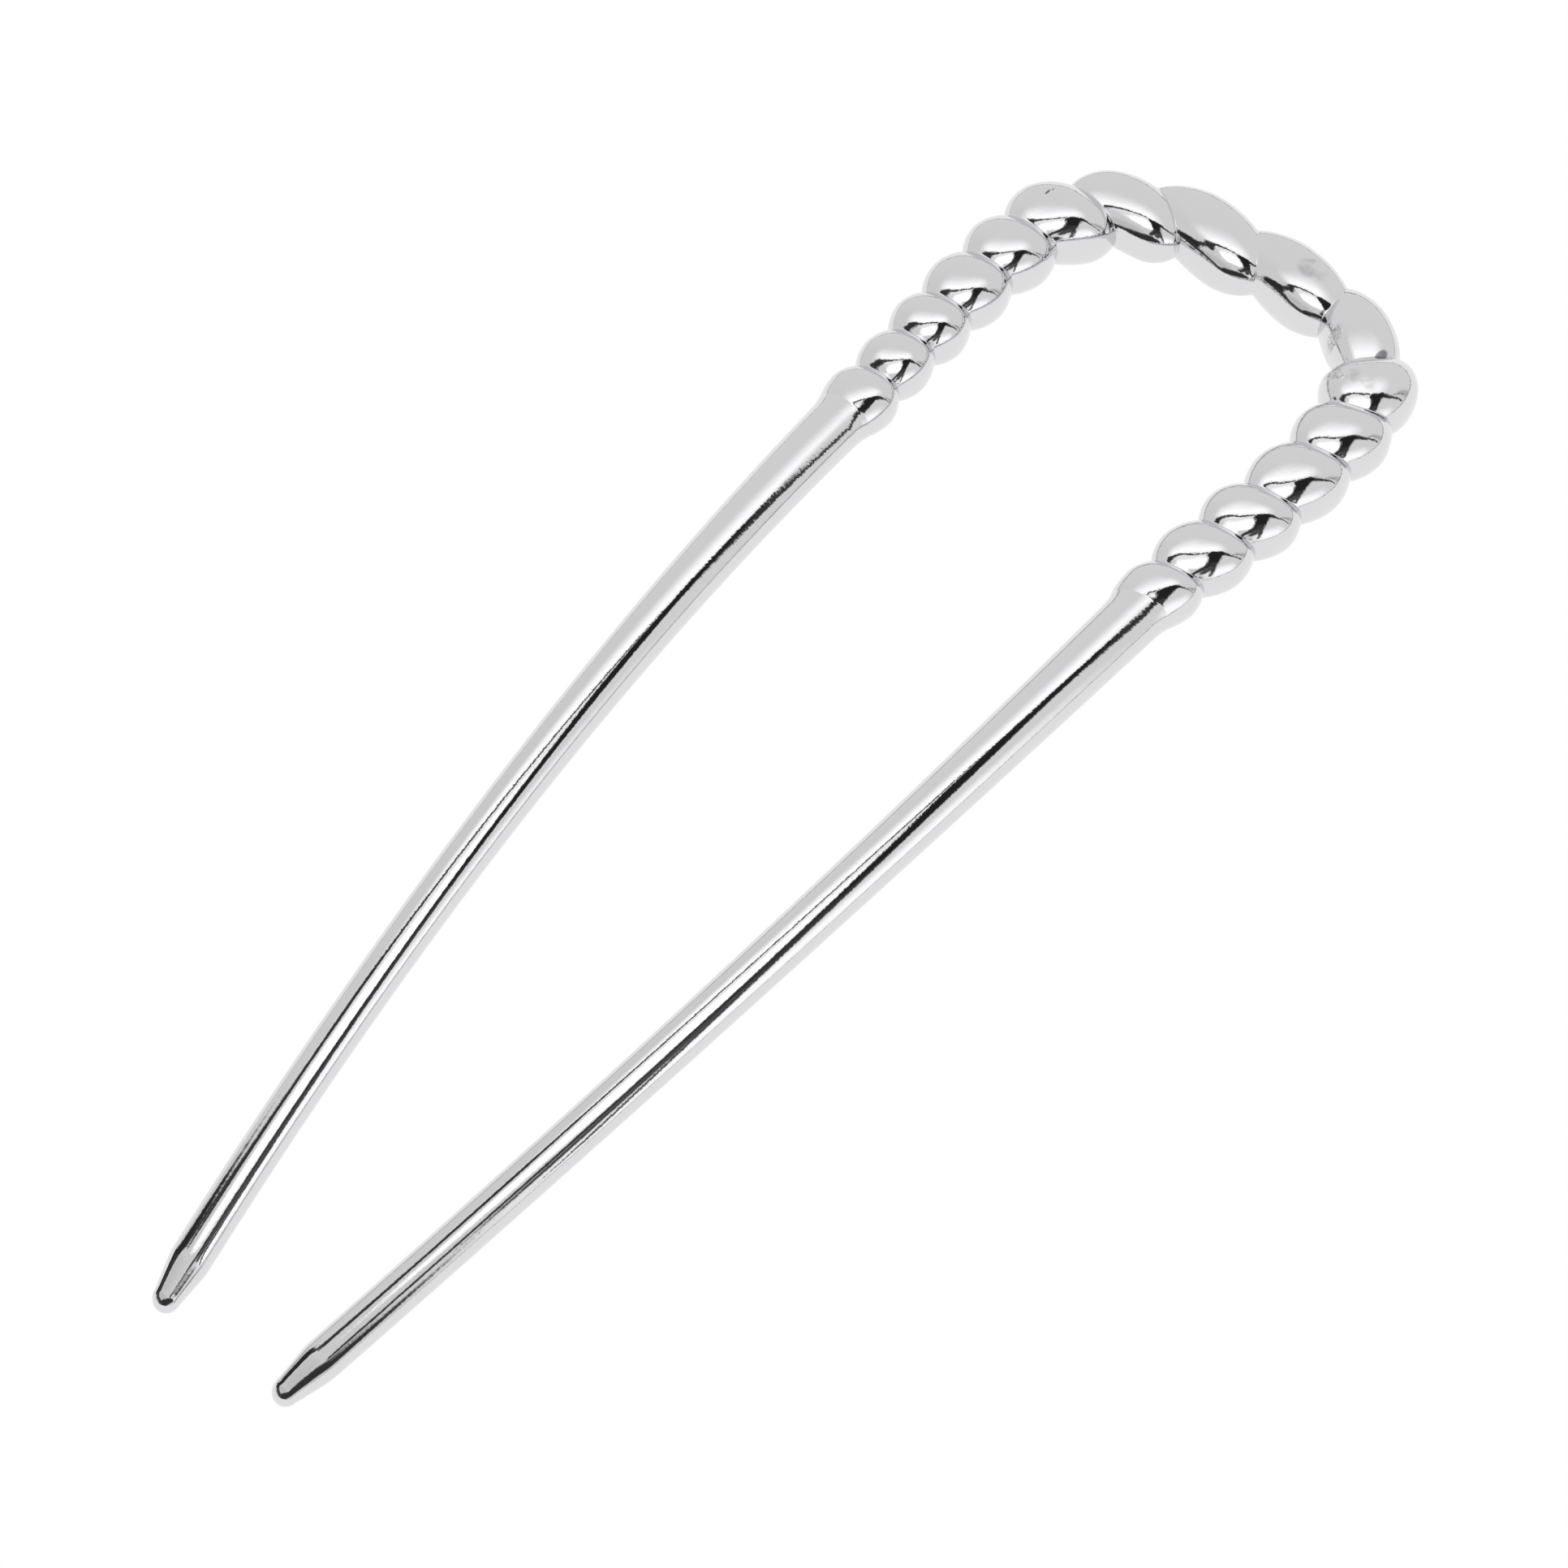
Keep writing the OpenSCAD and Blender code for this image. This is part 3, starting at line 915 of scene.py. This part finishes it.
@dataclass
class Studio:
    """A plain white table inside a round light tent, sizes in metres.

    Attributes:
        viewpoint: Where the photograph was taken from, which turns the map of the strokes.
        floor_size: Length of the table's edges.
        floor_glow: How bright the table is.
        radius: Radius of the tent.
        wall_glow: How bright the tent is between its strokes.
        room_glow: How bright the backdrop past the table is.
        hem_from: How far out on the map the dark hem starts.
        hem_soft: Width of its soft edge there.
        hem_glow: How bright the hem is.
        top_angle: How far from straight up the tent's last ring is, in radians.
        strokes: The light and shade on the tent, each laid over those before it.
    """

    viewpoint: Viewpoint
    floor_size: float = 3.0
    floor_glow: float = 1.0
    radius: float = 0.2
    wall_glow: float = 0.85
    room_glow: float = 1.0
    hem_from: float = 0.98
    hem_soft: float = 0.008
    hem_glow: float = 0.3
    top_angle: float = 0.002
    strokes: tuple[Stroke, ...] = (
        Stroke(start=(-0.7, 0.6), end=(-0.4, 0.4), reach=(0.3, 0.2), soft=0.5, glow=0.8),
        Stroke(start=(-0.15, 0.22), end=(0.3, 0.24), reach=(0.1, 0.1), soft=0.3, glow=1.45),
        Stroke(start=(0.62, -0.5), end=(0.8, -0.35), reach=(0.2, 0.15), soft=0.3, glow=1.35),
        Stroke(start=(-0.6, -0.2), end=(-0.35, -0.5), reach=(0.15, 0.2), soft=0.3, glow=0.66),
        Stroke(start=(0.72, 0.19), end=(0.95, 0.26), reach=(0.03, 0.08), soft=0.08, glow=0.55),
        Stroke(start=(0.64, 0.14), end=(0.85, 0.21), reach=(0.01, 0.012), soft=0.02, glow=0.3),
        Stroke(start=(0.42, 0.12), end=(0.6, 0.08), reach=(0.05, 0.03), soft=0.04, glow=0.04),
        Stroke(start=(0.6, 0.08), end=(0.92, 0.1), reach=(0.028, 0.018), soft=0.03, glow=0.05),
        Stroke(start=(-0.3, -0.05), end=(0.05, -0.38), reach=(0.1, 0.1), soft=0.2, glow=0.8),
        Stroke(start=(-0.02, -0.1), end=(0.13, -0.09), reach=(0.14, 0.16), soft=0.1, glow=1.5),
        Stroke(start=(-0.92, 0.1), end=(-0.74, 0.13), reach=(0.18, 0.17), soft=0.08, glow=0.03),
        Stroke(start=(-0.74, 0.12), end=(-0.52, 0.08), reach=(0.15, 0.045), soft=0.06, glow=0.03),
        Stroke(start=(-0.52, 0.08), end=(-0.34, 0.09), reach=(0.05, 0.045), soft=0.06, glow=0.05),
        Stroke(start=(-0.82, 0.0), end=(-0.8, -0.3), reach=(0.11, 0.09), soft=0.08, glow=0.05),
        Stroke(start=(-0.8, -0.3), end=(-0.66, -0.6), reach=(0.09, 0.09), soft=0.08, glow=0.07),
        Stroke(start=(-0.66, -0.6), end=(-0.35, -0.82), reach=(0.09, 0.12), soft=0.08, glow=0.07),
        Stroke(start=(-0.36, 0.03), end=(-0.24, 0.11), reach=(0.06, 0.055), soft=0.06, glow=0.04),
        Stroke(start=(-0.3, 0.135), end=(-0.08, 0.15), reach=(0.05, 0.025), soft=0.04, glow=0.04),
        Stroke(start=(-0.08, 0.15), end=(0.22, 0.15), reach=(0.022, 0.016), soft=0.02, glow=0.05),
        Stroke(start=(0.29, 0.1), end=(0.4, 0.11), reach=(0.065, 0.06), soft=0.03, glow=0.02),
        Stroke(start=(0.35, 0.05), end=(0.36, -0.2), reach=(0.1, 0.09), soft=0.05, glow=0.02),
        Stroke(start=(0.34, -0.2), end=(0.25, -0.33), reach=(0.08, 0.06), soft=0.06, glow=0.04),
        Stroke(start=(0.25, -0.33), end=(0.1, -0.48), reach=(0.06, 0.055), soft=0.06, glow=0.05),
        Stroke(start=(0.4, -0.18), end=(0.47, -0.4), reach=(0.05, 0.035), soft=0.06, glow=0.05),
        Stroke(start=(0.47, -0.4), end=(0.54, -0.62), reach=(0.035, 0.035), soft=0.06, glow=0.07),
        Stroke(start=(0.38, -0.34), end=(0.33, -0.46), reach=(0.07, 0.075), soft=0.08, glow=0.08),
        Stroke(start=(0.14, -0.62), end=(-0.12, -0.7), reach=(0.07, 0.14), soft=0.1, glow=0.05),
        Stroke(start=(0.3, -0.74), end=(-0.4, -0.78), reach=(0.12, 0.22), soft=0.1, glow=0.04),
    )

    def floor(self) -> bpy.types.Object:
        """The table top at z = 0, white enough to leave no edge in the picture."""
        half = self.floor_size / 2
        corners = [(-half, -half, 0), (half, -half, 0), (half, half, 0), (-half, half, 0)]
        floor = self.staged("table_top", corners, [(0, 1, 2, 3)])
        self.shine(self.finish(floor, "white_table"), self.floor_glow)
        return floor

    def tent(self, rings: int = 24, sides: int = 96) -> bpy.types.Object:
        """The round tent: a half sphere on the table, lit all over and hidden from the camera.

        Args:
            rings: How many rings of points it has from the table to its top.
            sides: How many points each ring has.

        Returns:
            The tent.
        """
        zeniths = np.linspace(np.pi / 2, self.top_angle, rings)
        turns = np.linspace(0, 2 * np.pi, sides, endpoint=False)
        zenith, turn = np.meshgrid(zeniths, turns, indexing="ij")
        level, up = np.sin(zenith), np.cos(zenith)
        points = np.stack([level * np.cos(turn), level * np.sin(turn), up], axis=-1) * self.radius
        ring, place = np.meshgrid(np.arange(rings - 1), np.arange(sides), indexing="ij")
        here, after = ring * sides + place, ring * sides + (place + 1) % sides
        quads = np.stack([after, here, here + sides, after + sides], axis=-1).reshape(-1, 4)
        top = [tuple(range(sides * (rings - 1), sides * rings))[::-1]]
        tent = self.staged("light_tent", points.reshape(-1, 3).tolist(), quads.tolist() + top)
        tent.visible_camera = False
        shop = self.finish(tent, "tent_wall")
        self.shine(shop, self.pattern(shop))
        return tent

    def pattern(self, shop: NodeShop) -> Signal:
        """How bright the tent is at each place, from the strokes laid over each other in order.

        A place's direction from the middle of the tent is that of its Object coordinates, turned
        to the picture's right and away from the camera. It lies on the map in that direction, as
        far out as its angle from straight up is a share of a right angle. A thin dark hem runs
        round where the tent stands on the table.
        """
        _, (x, y, z) = shop.object_place()
        turn = math.radians(self.viewpoint.azimuth)
        right = x * math.cos(turn) + y * math.sin(turn)
        away = y * math.cos(turn) - x * math.sin(turn)
        level = (right * right + away * away).root()
        out = level.maths("ARCTAN2", level, z) / (math.pi / 2)
        across, along = out * right / level, out * away / level
        glow: Value = self.wall_glow
        for stroke in self.strokes:
            glow = glow + stroke.mask(across, along) * (stroke.glow - glow)
        hem = ((out - self.hem_from) / self.hem_soft).clamped()
        return glow + hem * (self.hem_glow - glow)

    def room(self) -> None:
        """The white backdrop beyond the table's edge, which the pin itself doesn't see."""
        world = bpy.data.worlds.new("room")
        world.use_nodes = True
        shop = NodeShop(world.node_tree)
        values = {"Color": WHITE, "Strength": self.room_glow}
        white = shop.add("ShaderNodeBackground", values=values)
        shop.add("ShaderNodeOutputWorld", values={"Surface": white})
        bpy.context.scene.world = world

    @staticmethod
    def staged(name: str, points: list, faces: list) -> bpy.types.Object:
        """A mesh object that belongs to the studio and isn't part of the pin."""
        mesh = bpy.data.meshes.new(name)
        mesh.from_pydata(points, [], faces)
        thing = bpy.data.objects.new(name, mesh)
        bpy.context.scene.collection.objects.link(thing)
        return thing

    @staticmethod
    def finish(thing: bpy.types.Object, name: str) -> NodeShop:
        """Gives a thing a new empty material and the shop for its nodes."""
        material = bpy.data.materials.new(name)
        material.use_nodes = True
        thing.data.materials.append(material)
        return NodeShop(material.node_tree)

    @staticmethod
    def shine(shop: NodeShop, strength: Value) -> None:
        """Ends a material in white light of some strength."""
        glow = shop.add("ShaderNodeEmission", values={"Color": WHITE, "Strength": strength})
        shop.add("ShaderNodeOutputMaterial", values={"Surface": glow})


def main() -> None:
    """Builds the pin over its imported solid, dresses it, and sets the studio round it."""
    logging.basicConfig(level=logging.INFO, format="%(name)s: %(message)s")
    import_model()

    viewpoint = Viewpoint()
    camera = viewpoint.place()
    log.info("camera at %s", tuple(round(value, 4) for value in camera.location))

    studio = Studio(viewpoint)
    studio.floor()
    studio.tent()
    studio.room()
    view = bpy.context.scene.view_settings
    view.view_transform, view.look, view.exposure, view.gamma = "Standard", "None", 0.0, 1.0

    low, high = (Vector(corner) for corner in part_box("hairpin"))
    pin = Hairpin().build(low, high)
    pin.data.materials.append(ChromePlate().material())
    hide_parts("hairpin")
    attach(pin, "root")
    log.info("pin: %d points, %d faces", len(pin.data.vertices), len(pin.data.polygons))


if __name__ == "__main__":
    main()
